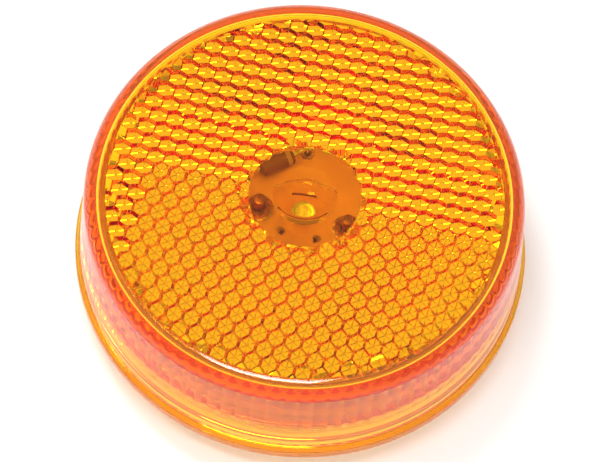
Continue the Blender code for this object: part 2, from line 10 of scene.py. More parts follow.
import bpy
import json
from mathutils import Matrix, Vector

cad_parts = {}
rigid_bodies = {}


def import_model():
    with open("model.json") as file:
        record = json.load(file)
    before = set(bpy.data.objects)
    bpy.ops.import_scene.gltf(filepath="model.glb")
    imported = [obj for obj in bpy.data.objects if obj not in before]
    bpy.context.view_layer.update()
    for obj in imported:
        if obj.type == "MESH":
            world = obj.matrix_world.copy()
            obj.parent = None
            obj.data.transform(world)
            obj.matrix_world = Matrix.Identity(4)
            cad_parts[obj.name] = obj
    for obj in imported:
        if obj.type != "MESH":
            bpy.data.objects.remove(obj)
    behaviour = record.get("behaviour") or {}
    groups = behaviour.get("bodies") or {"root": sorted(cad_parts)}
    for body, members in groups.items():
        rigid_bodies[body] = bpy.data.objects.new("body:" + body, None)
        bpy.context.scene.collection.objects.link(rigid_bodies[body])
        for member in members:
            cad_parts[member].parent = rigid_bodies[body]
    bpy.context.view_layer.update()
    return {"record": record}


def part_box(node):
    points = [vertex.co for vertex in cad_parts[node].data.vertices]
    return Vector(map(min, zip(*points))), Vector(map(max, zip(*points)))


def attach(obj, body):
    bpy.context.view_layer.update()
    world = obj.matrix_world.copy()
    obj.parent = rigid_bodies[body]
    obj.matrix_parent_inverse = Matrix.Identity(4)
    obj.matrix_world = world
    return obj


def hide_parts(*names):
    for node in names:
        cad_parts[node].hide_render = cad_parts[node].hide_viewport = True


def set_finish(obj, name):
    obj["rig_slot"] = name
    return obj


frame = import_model()

# %% [markdown]
# ## The camera
#
# The photograph looks down on the face from 26 degrees off its axis, through a long lens.
# The camera could be placed by hand, but its place is easier to keep as two angles, a
# roll and a distance, because the reflex cells answer to a change of one degree. The
# frame is 600 by 462 pixels, and its width at the face gives the focal length.

# %% Camera
import json
import math

import bpy
import numpy as np
from mathutils import Matrix

MM = 0.001
AZIMUTH, ELEVATION, ROLL = math.radians(9.1), math.radians(64.0), math.radians(5.1)
CAMERA_DISTANCE = 777.6
WIDTH_IN_VIEW = 82.81
SENSOR_WIDTH = 36.0
LOOK_RIGHT, LOOK_AHEAD, LOOK_HEIGHT = -0.27, -5.315, 24.7

scene = bpy.context.scene
level_right = np.array([math.cos(AZIMUTH), math.sin(AZIMUTH), 0.0])
ahead = np.array([-math.sin(AZIMUTH), math.cos(AZIMUTH), 0.0])
to_camera = np.array([0, 0, math.sin(ELEVATION)]) - math.cos(ELEVATION) * ahead
level_up = np.cross(to_camera, level_right)
target = LOOK_RIGHT * level_right + LOOK_AHEAD * ahead + np.array([0, 0, LOOK_HEIGHT])

place = np.eye(4)
place[:3, 0] = math.cos(ROLL) * level_right + math.sin(ROLL) * level_up
place[:3, 1] = math.cos(ROLL) * level_up - math.sin(ROLL) * level_right
place[:3, 2] = to_camera
place[:3, 3] = (target + CAMERA_DISTANCE * to_camera) * MM

camera = bpy.data.objects.new("camera", bpy.data.cameras.new("camera"))
camera.data.sensor_width = SENSOR_WIDTH
camera.data.lens = SENSOR_WIDTH * CAMERA_DISTANCE / WIDTH_IN_VIEW
camera.data.clip_end = 50
camera.matrix_world = Matrix(place.tolist())
scene.collection.objects.link(camera)
scene.camera = camera
print("focal length in mm:", round(camera.data.lens, 1))

# %% [markdown]
# ## Surfaces from arrays
#
# A moulded or turned piece is a profile carried round an axis. Blender's Spin tool could
# do that, but a grid of points worked out in one go is exact, closes at the poles and
# lets the radius swell with the angle, which the flutes inside the wall need.


# %% Helpers for turned surfaces
def piece_from(name, points, faces, crease=30):
    """A mesh from points in millimetres and lists of point numbers.

    Edges above crease degrees stay sharp.
    """
    mesh = bpy.data.meshes.new(name)
    mesh.from_pydata((np.asarray(points) * MM).tolist(), [], faces)
    mesh.shade_smooth()
    mesh.set_sharp_from_angle(angle=math.radians(crease))
    piece = bpy.data.objects.new(name, mesh)
    scene.collection.objects.link(piece)
    return piece


def arc(centre, radius, start, end, steps):
    """Points on an arc: centre plus radius times (cos a, sin a), with a going evenly from start to end."""
    a = np.radians(np.linspace(start, end, steps + 1))
    return np.column_stack([centre[0] + radius * np.cos(a), centre[1] + radius * np.sin(a)])


def lathe(profile, segments=64, closed=False, swell=0.0):
    """A profile of (radius, height) rows carried round Z: (r cos a, r sin a, z) at even angles a.

    An open profile starts and ends on the axis, top first, and closes there on a point.
    A closed one joins its last row to its first. swell is added to every radius.
    """
    profile = np.asarray(profile, float)
    rows = profile if closed else profile[1:-1]
    a = 2 * np.pi * np.arange(segments) / segments
    radius = rows[:, :1] + np.broadcast_to(swell, (len(rows), segments))
    height = np.broadcast_to(rows[:, 1:2], radius.shape)
    points = np.stack([radius * np.cos(a), radius * np.sin(a), height], -1).reshape(-1, 3)
    i, k = np.mgrid[0:len(rows) - (not closed), 0:segments]
    below, after = (i + 1) % len(rows), (k + 1) % segments
    row, next_row = i * segments, below * segments
    quads = np.stack([row + k, next_row + k, next_row + after, row + after], -1)
    faces = quads.reshape(-1, 4).tolist()
    if not closed:
        k, last, n = np.arange(segments), (len(rows) - 1) * segments, len(points)
        after = (k + 1) % segments
        faces += np.column_stack([np.full(segments, n), k, after]).tolist()
        faces += np.column_stack([np.full(segments, n + 1), last + after, last + k]).tolist()
        points = np.vstack([points, [[0, 0, profile[0, 1]], [0, 0, profile[-1, 1]]]])
    return points, faces


# %% [markdown]
# ## The lens cup
#
# The real lens is one injection moulding: a flat face 1.55 mm thick, a round rim of 3 mm,
# a wall with a little draft, and a lip that a rubber ring grips. Inside, ninety shallow
# flutes spread the light sideways, and a bulge under the window gathers the diode's light.
# A subdivision surface would blur the small radii that draw bright lines in the
# photograph, so the profile holds every round as its own arc.

# %% Profile of the lens cup
FACE, UNDER = 26.0, 24.45
LIP_FOOT, LIP_TOP = 7.0, 9.0
LIP_RADIUS, WALL_FOOT, WALL_TOP = 31.75, 31.15, 30.65
INNER, MOUTH, LEDGE = 28.65, 29.35, 13.0
RIM_ROUND, LIP_ROUND, FOOT_FILLET, INNER_FILLET = 3.0, 0.4, 0.25, 0.7
BULGE_RADIUS, BULGE_RISE = 4.5, 1.1
FLUTE_COUNT, FLUTE_DEPTH, FLUTE_TOP = 90, 0.06, 23.6
MOUTH_BREAK, LEDGE_BREAK = 0.2, 0.1
WINDOW_FLAT = 7.8
LENS_SEGMENTS = 720


def rows_with(share, points):
    """Profile rows with the share of the flutes' depth that each of them takes."""
    points = np.atleast_2d(points)
    return np.column_stack([points, np.full(len(points), share)])


def bulge_profile():
    """The window's bulge, from edge to middle: part of the circle through its edge and its lowest point."""
    radius = (BULGE_RADIUS**2 + BULGE_RISE**2) / (2 * BULGE_RISE)
    spread = math.degrees(math.asin(BULGE_RADIUS / radius))
    return arc((0, UNDER - BULGE_RISE + radius), radius, spread - 90, -90, 10)


draft = math.degrees(math.atan2(WALL_FOOT - WALL_TOP, FACE - LIP_TOP - RIM_ROUND))
rim = arc((WALL_TOP - RIM_ROUND, FACE - RIM_ROUND), RIM_ROUND, 90, draft, 16)
lip_edge = LIP_RADIUS - LIP_ROUND
outside = np.vstack([
    [(0, FACE), (rim[0][0] - 0.02, FACE)],
    rim,
    [rim[-1] + (0.001, -0.03)],
    arc((WALL_FOOT + FOOT_FILLET, LIP_TOP + FOOT_FILLET), FOOT_FILLET, 180 + draft, 270, 4)[:-1],
    arc((lip_edge, LIP_TOP - LIP_ROUND), LIP_ROUND, 90, 0, 5),
    arc((lip_edge, LIP_FOOT + LIP_ROUND), LIP_ROUND, 0, -90, 5),
])
mouth = [
    (MOUTH + MOUTH_BREAK, LIP_FOOT),
    (MOUTH, LIP_FOOT + MOUTH_BREAK),
    (MOUTH, LEDGE - LEDGE_BREAK),
    (MOUTH - LEDGE_BREAK, LEDGE),
    (INNER + LEDGE_BREAK, LEDGE),
]
flute_ends = FLUTE_TOP - np.array([0.45, 0.30, 0.15, 0.05, 0.0])
flute_shares = np.array([1.0, 0.85, 0.5, 0.15, 0.0])
lens_rows = np.vstack([
    rows_with(0, outside),
    rows_with(0, mouth),
    rows_with(1, (INNER, LEDGE + LEDGE_BREAK)),
    np.column_stack([np.full(len(flute_ends), INNER), flute_ends, flute_shares]),
    rows_with(0, arc((INNER - INNER_FILLET, UNDER - INNER_FILLET), INNER_FILLET, 0, 90, 8)),
    rows_with(0, [(INNER - INNER_FILLET - 0.05, UNDER), (WINDOW_FLAT, UNDER), (BULGE_RADIUS + 0.1, UNDER)]),
    rows_with(0, bulge_profile()),
])
print("lens profile rows:", len(lens_rows), "draft in degrees:", round(draft, 2))

# %% Lens cup
angle = 2 * np.pi * np.arange(LENS_SEGMENTS) / LENS_SEGMENTS
scallop = 1 - np.abs(np.cos(FLUTE_COUNT * angle / 2))
flutes = FLUTE_DEPTH * lens_rows[1:-1, 2:] * scallop
lens_cup = piece_from("lens_cup", *lathe(lens_rows[:, :2], LENS_SEGMENTS, swell=flutes))
print("lens cup points:", len(lens_cup.data.vertices))

# %% [markdown]
# ## The cube corners
#
# A cube standing on its tip has three square faces that meet at right angles. Light that
# strikes all three goes back where it came from. In the mould each corner is the end of a
# steel pin with six sides, and the pins stand side by side like a honeycomb. Half of the
# field is turned round, so that the lamp also shines for a viewer on the other side. The
# near corners lean by eleven degrees and the far ones by three, both towards the near
# side. The ridges of a real pin are never quite sharp. Here they have small flat chamfers,
# and those of the far pins catch a lamp at the side as bright dashes. One pin is worked
# out here, and copied to every place in the honeycomb.

# %% One reflex pin
PITCH = 2.4
CORNER = PITCH / math.sqrt(3)
NEAR_CANT, FAR_CANT = 11.0, -3.0
NEAR_CHAMFER, FAR_CHAMFER = 0.08, 0.04
NEAR_BREAKS, FAR_BREAKS = (0, 45, 90), (0, 90)
NEAR_LAND, FAR_LAND = 0.17, 0.03
CENTRING = 1.43
OVERLAP = 0.002
PIN_DEPTH = 2.5
NEARLY_ZERO = 1e-6


def corner_edges(cant):
    """Three unit vectors at equal turns, rising by one over root three, leaned towards -Y by cant degrees."""
    turn = np.radians([270, 30, 150])
    flat = math.sqrt(2 / 3)
    edges = np.column_stack([flat * np.cos(turn), flat * np.sin(turn), np.full(3, 1 / math.sqrt(3))])
    c, s = math.cos(math.radians(cant)), math.sin(math.radians(cant))
    return edges @ np.array([[1, 0, 0], [0, c, s], [0, -s, c]])


def reach(starts, direction, outline):
    """How far lines in plan run along a direction to an outline: the nearest side that each one meets."""
    sides = np.roll(outline, -1, axis=0) - outline
    gap = outline[None] - starts[:, None]
    across = sides[:, 0] * direction[1] - sides[:, 1] * direction[0]
    run = (gap[..., 1] * sides[:, 0] - gap[..., 0] * sides[:, 1]) / across
    share = (direction[0] * gap[..., 1] - direction[1] * gap[..., 0]) / across
    return np.where((run > 0) & (share > -NEARLY_ZERO) & (share < 1 + NEARLY_ZERO), run, np.inf).min(1)


def reflex_pin(cant, chamfer, breaks, land):
    """A six-sided pin with a hollow cube corner on top.

    A ridge's chamfer lies along its edge e between the two faces beside it: lines from
    apex + r (e + j + k - cos t j - sin t k), with j and k the other edges and t the breaks
    between 0 and 90 degrees, bound its flat strips. Each line runs on to the hexagon, a
    land surrounds it, and the foot is flat.
    """
    edges = corner_edges(cant)
    apex = np.array([0.0, CENTRING * math.tan(math.radians(cant)), 0.0])
    turn = np.radians(30 + 60 * np.arange(6))
    hexagon = (CORNER - 2 * land / math.sqrt(3)) * np.column_stack([np.cos(turn), np.sin(turn)])
    t = np.radians(breaks)[:, None]
    m = len(breaks)
    starts, hits = [], []
    for i in range(3):
        e, j, k = edges[i], edges[i - 2], edges[i - 1]
        line = apex + chamfer * (e + j + k - np.cos(t) * j - np.sin(t) * k)
        starts.append(line)
        hits.append(line + reach(line[:, :2], e[:2], hexagon)[:, None] * e)

    def bearing(points):
        return np.arctan2(points[:, 1] - apex[1], points[:, 0] - apex[0])

    slopes = -edges[:, :2] / edges[:, 2:]
    corners = np.column_stack([hexagon, ((hexagon - apex[:2]) @ slopes.T).max(1)])
    first = np.concatenate([bearing(h[:1]) for h in hits])
    width = (np.concatenate([bearing(h[-1:]) for h in hits]) - first) % (2 * np.pi)
    in_chamfer = ((bearing(corners)[:, None] - first) % (2 * np.pi) <= width).any(1)
    ring = np.vstack([corners[~in_chamfer]] + hits)
    label = np.concatenate([np.full((~in_chamfer).sum(), -1), np.arange(3 * m)])
    order = np.argsort(bearing(ring))
    ring, label = ring[order], label[order]

    n = len(ring)
    grow = (PITCH / 2 + OVERLAP) / (PITCH / 2 - land)
    outer = ring * (grow, grow, 1)
    foot = np.column_stack([outer[:, :2], np.full(n, -PIN_DEPTH)])
    tip = apex + chamfer * edges.sum(0) * (1 - 1 / math.sqrt(3))
    points = np.vstack([ring, outer, foot] + [s[:-1] for s in starts] + [tip])

    def start(line):
        """Number of the point where a ridge line starts; a ridge's last one is the next ridge's first."""
        ridge, q = divmod(line, m)
        return 3 * n + (ridge * (m - 1) + q) % (3 * m - 3)

    k = np.arange(n)
    after = (k + 1) % n
    faces = np.column_stack([n + k, n + after, after, k]).tolist()
    faces += np.column_stack([2 * n + k, 2 * n + after, n + after, n + k]).tolist()
    faces += [(2 * n + k[::-1]).tolist()]
    at = {int(line): spot for spot, line in enumerate(label) if line >= 0}
    for line in range(3 * m):
        following = (line + 1) % (3 * m)
        if line % m < m - 1:
            faces.append([start(line), at[line], at[following], start(following)])
            faces.append([len(points) - 1, start(line), start(following)])
        else:
            span = (at[following] - at[line]) % n
            faces.append([start(line)] + [(at[line] + step) % n for step in range(span + 1)])
    return points, faces


near_pin = reflex_pin(NEAR_CANT, NEAR_CHAMFER, NEAR_BREAKS, NEAR_LAND)
far_points, far_faces = reflex_pin(FAR_CANT, FAR_CHAMFER, FAR_BREAKS, FAR_LAND)
far_pin = far_points * (-1, -1, 1), far_faces
print("faces of one pin:", len(near_pin[1]), "rise in mm:", round(float(near_pin[0][:, 2].max()), 3))

# %% [markdown]
# The mould's pins touch, so three sets are made in which no two pins are neighbours, as
# in a map of three colours. Each set is a plain solid, and each cuts cleanly. A boss under
# the face is pressed by all three and then joined to the cup.

# %% The honeycomb of pins
REFLEX_RADIUS, WINDOW_RADIUS, STRIP_WIDTH = 27.65, 7.85, 5.2
PIN_TOP = UNDER - 0.05


def honeycomb(radius):
    """Rows of hexagons 1.5 corner radii apart, every second row shifted by half a pitch."""
    rows, columns = math.ceil(radius / (1.5 * CORNER)) + 2, math.ceil(radius / PITCH) + 2
    row, column = (grid.ravel() for grid in np.mgrid[-rows:rows, -columns:columns])
    x, y = (2 * column + row % 2) * PITCH / 2, (3 * row + 1.5) * CORNER / 2
    inside = np.hypot(x, y) < radius
    colour = (column - (row - row % 2) // 2 - row) % 3
    turned = (row < 0) & (x >= STRIP_WIDTH - REFLEX_RADIUS)
    return x[inside], y[inside], colour[inside], turned[inside]


def copies(pin, x, y, first):
    """One pin moved to every (x, y), all tops level, with the points numbered from first."""
    points, faces = pin
    shift = np.column_stack([x, y, np.full(len(x), PIN_TOP - points[:, 2].max())])
    numbers = first + len(points) * np.arange(len(x))[:, None]
    placed = (points[None] + shift[:, None]).reshape(-1, 3)
    return placed, [face for shape in faces for face in (numbers + np.array(shape)).tolist()]


cell_x, cell_y, cell_colour, cell_near = honeycomb(REFLEX_RADIUS + PITCH)
pin_sets = []
for colour in range(3):
    near, far = ((cell_colour == colour) & (cell_near == side) for side in (True, False))
    near_points, near_faces = copies(near_pin, cell_x[near], cell_y[near], 0)
    far_points, far_faces = copies(far_pin, cell_x[far], cell_y[far], len(near_points))
    points = np.vstack([near_points, far_points])
    pin_sets.append(piece_from(f"pin_set_{colour}", points, near_faces + far_faces))
print("pins:", len(cell_x), "of them near:", int(cell_near.sum()))


# %% Press the boss and join it to the cup
def combine(piece, tools, operation):
    """Adds or cuts closed tools in turn, keeps the result as a plain mesh, and removes the tools."""
    for tool in tools:
        step = piece.modifiers.new(tool.name, "BOOLEAN")
        step.operation, step.solver, step.object = operation, "MANIFOLD", tool
    solid = bpy.data.meshes.new_from_object(piece.evaluated_get(bpy.context.evaluated_depsgraph_get()))
    piece.modifiers.clear()
    piece.data = solid
    for tool in tools:
        bpy.data.objects.remove(tool)
    return piece


def smooth(piece, crease):
    """Smooth shading, with edges above crease degrees kept sharp."""
    piece.data.shade_smooth()
    piece.data.set_sharp_from_angle(angle=math.radians(crease))


BOSS_SPARE, BOSS_OVERLAP = 0.5, 0.75
boss_low = PIN_TOP - max(near_pin[0][:, 2].max(), far_pin[0][:, 2].max()) - BOSS_SPARE
boss_high = UNDER + BOSS_OVERLAP
boss_profile = [
    (REFLEX_RADIUS, boss_high),
    (REFLEX_RADIUS, boss_low),
    (WINDOW_RADIUS, boss_low),
    (WINDOW_RADIUS, boss_high),
]
boss = piece_from("boss", *lathe(boss_profile, 360, closed=True))
combine(boss, pin_sets, "DIFFERENCE")
lens = combine(lens_cup, [boss], "UNION")
lens.name = "lens_shell"
smooth(lens, 13)
lens.data.calc_loop_triangles()
print("lens triangles:", len(lens.data.loop_triangles))
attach(lens, "root")
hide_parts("lens")
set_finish(lens, "amber_lens")

# %% [markdown]
# ## The rear base
#
# The base is a second moulding: a back plate, a ring that is welded into the lens's mouth
# and carries two small beads, and a socket for the plug, with a well over it for the
# sealing compound. Three posts hold the board. The turned parts come from the lathe. The
# socket's walls are a profile carried round a rectangle with round corners, whose corner
# arcs grow with the offset, so that the mouth gets an even round.


# %% Rear base
def round_block(length, width, corner, profile, centre=(0, 0), steps=10):
    """A profile of (offset, height) rows, top first, carried round a rectangle with round corners.

    At each height the rectangle grows by the offset, so its corner arcs stay concentric.
    """
    profile = np.asarray(profile, float)
    quarters = [(1, 1, 0), (-1, 1, 90), (-1, -1, 180), (1, -1, 270)]
    a = np.radians(np.concatenate([turn + np.linspace(0, 90, steps + 1) for _, _, turn in quarters]))
    signs = np.repeat([q[:2] for q in quarters], steps + 1, axis=0)
    middle = signs * (length / 2 - corner, width / 2 - corner) + centre
    radius = corner + profile[:, :1, None]
    flat = middle[None] + radius * np.column_stack([np.cos(a), np.sin(a)])[None]
    height = np.broadcast_to(profile[:, 1:, None], flat.shape[:2] + (1,))
    points = np.concatenate([flat, height], -1).reshape(-1, 3)
    n = len(a)
    i, k = np.mgrid[0:len(profile) - 1, 0:n]
    after = (k + 1) % n
    quads = np.stack([i * n + k, (i + 1) * n + k, (i + 1) * n + after, i * n + after], -1)
    ends = [np.arange(n).tolist(), (len(points) - 1 - np.arange(n)).tolist()]
    return points, quads.reshape(-1, 4).tolist() + ends


RING_RADIUS, BEAD_HEIGHT, BEAD_HALF, REAR_RADIUS = 28.85, 0.3, 0.65, 28.05
BEADS = (10.95, 8.55)
BASE_INSIDE, BASE_TOP, PLATE = 24.25, 12.8, 2.0
SOCKET_LENGTH, SOCKET_WIDTH, SOCKET_CORNER, SOCKET_TOP = 26.0, 11.5, 3.0, 10.95
WELL_FLOOR, WELL_TOP = 12.95, 14.35
BOARD_LOW, BOARD_TOP = 15.55, 17.15
POST_CIRCLE, POST_COUNT = 21.15, 3
SOCKET_WALL, WELL_MARGIN, STEM_HOLE = 2.0, 0.6, 1.15

bead_z = np.linspace(12.5, 7.3, 70)
bead_lift = sum(0.5 + 0.5 * np.cos(np.pi * np.clip(abs(bead_z - z) / BEAD_HALF, 0, 1)) for z in BEADS)
base_profile = np.vstack([
    [(0, PLATE)],
    arc((BASE_INSIDE - 0.5, PLATE + 0.5), 0.5, -90, 0, 5),
    arc((BASE_INSIDE + 0.2, BASE_TOP - 0.2), 0.2, 180, 90, 4),
    arc((RING_RADIUS - 0.2, BASE_TOP - 0.2), 0.2, 90, 0, 4),
    np.column_stack([RING_RADIUS + BEAD_HEIGHT * bead_lift, bead_z]),
    [(REAR_RADIUS + 0.05, 6.55), (REAR_RADIUS, 6.45)],
    arc((REAR_RADIUS - 0.5, 0.5), 0.5, 0, -90, 6),
    [(0, 0)],
])
post_profile = np.vstack([
    [(0, BOARD_TOP + 1.3)],
    arc((0.9, BOARD_TOP + 0.5), 0.8, 90, 0, 5) + (0.6, 0),
    [(2.3, BOARD_TOP + 0.2), (1.3, BOARD_TOP + 0.2), (1.3, BOARD_LOW - 0.2), (2.4, BOARD_LOW - 0.2)],
    [(2.5, BOARD_LOW - 0.3), (2.5, PLATE / 2), (0, PLATE / 2)],
])
post_turn = np.radians(30 + 360 / POST_COUNT * np.arange(POST_COUNT))
post_places = POST_CIRCLE * np.column_stack([np.cos(post_turn), np.sin(post_turn), np.zeros(POST_COUNT)])
PIN_X = abs(sum(v.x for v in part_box("contact_pin_left"))) / 2 / MM

base = piece_from("base_shell", *lathe(base_profile, 360))
walls = [(-0.3, WELL_TOP), (0, WELL_TOP - 0.3), (0, PLATE / 2)]


def socket_block(name, margin, profile):
    """A block round the socket's outline, wider than it by a margin on every side."""
    sides = SOCKET_LENGTH + 2 * margin, SOCKET_WIDTH + 2 * margin
    return piece_from(name, *round_block(*sides, SOCKET_CORNER + margin, profile))


added = [socket_block("socket_walls", SOCKET_WALL, walls)]
posts = lathe(post_profile, 48)
added += [piece_from(f"post_{k}", posts[0] + spot, posts[1]) for k, spot in enumerate(post_places)]
combine(base, added, "UNION")

mouth_round = arc((0.5, 0.5), 0.5, 180, 270, 5)
recess = np.vstack([[(-0.4, SOCKET_TOP), (0, SOCKET_TOP - 0.4)], mouth_round, [(0.5, -1)]])
hole_top, hole_low = WELL_FLOOR + 1, SOCKET_TOP - 1
stem_hole = lathe([(0, hole_top), (STEM_HOLE, hole_top), (STEM_HOLE, hole_low), (0, hole_low)], 40)
well = [(0, WELL_TOP + 1), (0, WELL_FLOOR)]
cuts = [socket_block("recess", 0.0, recess), socket_block("well", WELL_MARGIN, well)]
cuts += [piece_from(f"stem_hole_{x}", stem_hole[0] + (x, 0, 0), stem_hole[1]) for x in (-PIN_X, PIN_X)]
combine(base, cuts, "DIFFERENCE")
smooth(base, 25)
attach(base, "root")
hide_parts("rear_base")
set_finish(base, "amber_base")
print("base faces:", len(base.data.polygons), "pins at x =", round(PIN_X, 2))

# %% [markdown]
# ## Contact pins and their solder
#
# Each contact is a bullet pin turned from brass bar: a round tip that finds the plug, a
# neck that its spring clicks into, a collar, and a thin stem up through the board. The
# solder draws up the stem in a hollow curve, because it wets the metal.

# %% Contact pins
STEM, COLLAR, BULLET, NECK = 0.95, 2.9, 2.0, 1.7
STEM_TOP, PIN_TIP = 20.15, 1.2
pin_profile = np.vstack([
    [(0, STEM_TOP)],
    arc((STEM - 0.3, STEM_TOP - 0.3), 0.3, 90, 0, 4),
    [(STEM, 10.75)],
    arc((COLLAR - 0.15, 10.6), 0.15, 90, 0, 3),
    arc((COLLAR - 0.15, 9.9), 0.15, 0, -90, 3),
    [(BULLET, 9.75), (BULLET, 6.05), (BULLET - 0.05, 5.95), (NECK, 5.65), (NECK, 4.75)],
    [(BULLET - 0.05, 4.45), (BULLET, 4.35)],
    arc((0, PIN_TIP + BULLET), BULLET, 0, -90, 12),
])
t = np.linspace(0, 1, 9)[:, None]
solder_curve = np.hstack([1.15 + 0.95 * t, BOARD_TOP + 0.15 + 0.85 * (1 - t) ** 2.2])
solder_foot = [(2.1, BOARD_TOP + 0.1), (1.05, BOARD_TOP + 0.1)]
solder_profile = np.vstack([[(1.05, BOARD_TOP + 1.0)], solder_curve, solder_foot])
for side, x in (("left", -PIN_X), ("right", PIN_X)):
    turned = ("bullet_pin", "contact_pin", "tinned_brass", lathe(pin_profile, 48))
    drawn = ("solder_fillet", "pin_solder", "solder", lathe(solder_profile, 48, closed=True))
    for name, node, slot, (points, faces) in (turned, drawn):
        contact = piece_from(f"{name}_{side}", points + (x, 0, 0), faces, 40)
        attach(contact, "root")
        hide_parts(f"{node}_{side}")
        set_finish(contact, slot)
print("pin length in mm:", round(STEM_TOP - PIN_TIP, 2))

# %% [markdown]
# ## The light-emitting diode
#
# The light source is a round block of clear resin with a flange and a dome, cast round its
# metal parts. A post ends in a small polished cup, and in the cup sits the die, a grain of
# crystal less than half a millimetre wide. The anvil is a thin bar beside the cup, held by
# the resin, and its dark finish is painted shade: it draws the shadowed slit between the
# diode's two lead-frame pads. The resin is a solid that bends light, though less than real
# resin does, so that what it holds stays easy to make out through the window.


# %% Diode
def laid(points, x, y, turn):
    """Points swung about Z by turn degrees and moved to (x, y)."""
    c, s = math.cos(math.radians(turn)), math.sin(math.radians(turn))
    return points @ np.array([[c, s, 0], [-s, c, 0], [0, 0, 1]]) + (x, y, 0)


LED_LOW, FLANGE_TOP, LED_BODY_TOP, LED_TOP = 17.65, 18.65, 20.25, 22.15
FLANGE_RADIUS, LED_RADIUS = 4.3, 3.5
dome_bend = (LED_RADIUS**2 + (LED_TOP - LED_BODY_TOP) ** 2) / (2 * (LED_TOP - LED_BODY_TOP))
dome_spread = math.degrees(math.asin(LED_RADIUS / dome_bend))
led_profile = np.vstack([
    arc((0, LED_TOP - dome_bend), dome_bend, 90, 90 - dome_spread, 16),
    arc((LED_RADIUS + 0.15, FLANGE_TOP + 0.15), 0.15, 180, 270, 3),
    arc((FLANGE_RADIUS - 0.1, FLANGE_TOP - 0.1), 0.1, 90, 0, 3),
    arc((FLANGE_RADIUS - 0.1, LED_LOW + 0.1), 0.1, 0, -90, 3),
    [(0, LED_LOW)],
])
resin = piece_from("led_resin_block", *lathe(led_profile, 96), 25)
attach(resin, "root")
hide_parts("led_package")
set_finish(resin, "led_resin")

CUP_FLOOR, CUP_RIM, POST_FOOT = 18.75, 19.3, 17.9
cup_profile = np.vstack([
    [(0, CUP_FLOOR)],
    arc((0.35, CUP_FLOOR + 0.25), 0.25, -90, -38, 5),
    arc((1.2, CUP_RIM - 0.06), 0.06, 142, 90, 3),
    arc((1.4, CUP_RIM - 0.06), 0.06, 90, 0, 3),
    [(1.46, CUP_RIM - 0.3), (0.7, CUP_FLOOR - 0.2), (0.7, POST_FOOT), (0, POST_FOOT)],
])
bar = [(-0.05, CUP_RIM + 0.05), (0, CUP_RIM), (0, CUP_RIM - 0.25)]
die = [(-0.03, CUP_FLOOR + 0.2), (0, CUP_FLOOR + 0.17), (0, CUP_FLOOR + 0.02)]
# The anvil bar is thin, and its dark finish is painted shade that draws the shadowed slit between the
# lead-frame pads.
ANVIL_LENGTH, ANVIL_WIDTH, ANVIL_PLACE = 2.2, 0.13, (-0.4, 2.05, 6.0)
anvil_points, anvil_faces = round_block(ANVIL_LENGTH, ANVIL_WIDTH, 0.05, bar)
DIE_WIDTH = 0.4
inside_resin = {
    "led_cup": lathe(cup_profile, 48),
    "led_anvil": (laid(anvil_points, *ANVIL_PLACE), anvil_faces),
    "led_die": round_block(DIE_WIDTH, DIE_WIDTH, 0.03, die),
}
for name, (points, faces) in inside_resin.items():
    part = piece_from(name, points, faces, 25)
    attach(part, "root")
    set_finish(part, "tinned_wire")
print("resin faces:", len(resin.data.polygons), "inside it:", ", ".join(inside_resin))

# %% [markdown]
# ## Resistors, diodes and the wire link
#
# These parts lie on the board with their wires bent down through it. Each body is turned,
# then laid along X and swung to its place. The bodies keep how far each point lies along
# them as an attribute, so that colour bands can follow the part wherever it points.

# %% Parts with bent wires
WIRE_RADIUS, WIRE_BEND, WIRE_TAIL, LIFT = 0.3, 0.8, 14.75, 0.3


def bent_wire(pitch, height, sides=16):
    """A circle of the wire's radius carried along a bent path in the XZ plane, square to it throughout."""
    half = pitch / 2
    bend = arc((half - WIRE_BEND, height - WIRE_BEND), WIRE_BEND, 90, 0, 8)
    path = np.vstack([[(-half, WIRE_TAIL)], bend[::-1] * (-1, 1), bend, [(half, WIRE_TAIL)]])
    along = np.gradient(path, axis=0)
    along /= np.linalg.norm(along, axis=1, keepdims=True)
    a = 2 * np.pi * np.arange(sides) / sides
    x = path[:, :1] - WIRE_RADIUS * np.cos(a) * along[:, 1:]
    z = path[:, 1:] + WIRE_RADIUS * np.cos(a) * along[:, :1]
    y = np.broadcast_to(WIRE_RADIUS * np.sin(a), x.shape)
    points = np.stack([x, y, z], -1).reshape(-1, 3)
    i, k = np.mgrid[0:len(path) - 1, 0:sides]
    after = (k + 1) % sides
    row, next_row = i * sides, (i + 1) * sides
    quads = np.stack([row + k, row + after, next_row + after, next_row + k], -1)
    ends = [np.arange(sides)[::-1].tolist(), (len(points) - sides + np.arange(sides)).tolist()]
    return points, quads.reshape(-1, 4).tolist() + ends


def body_profile(length, radius, waist):
    """Half section of a part's body: two rounded caps, and a smooth step down to the waist between them."""
    z = np.linspace(length / 2, -length / 2, 61)
    from_end = length / 2 - abs(z)
    cap = np.sqrt(np.clip(1 - (1 - np.clip(from_end / 0.55, 0, 1)) ** 2, 0, 1))
    drawn = 0.5 - 0.5 * np.cos(np.pi * np.clip((from_end - 1.1) / 0.5, 0, 1))
    r = (radius - (radius - waist) * drawn) * (0.45 + 0.55 * cap)
    return np.vstack([[(0, length / 2)], np.column_stack([r, z]), [(0, -length / 2)]])


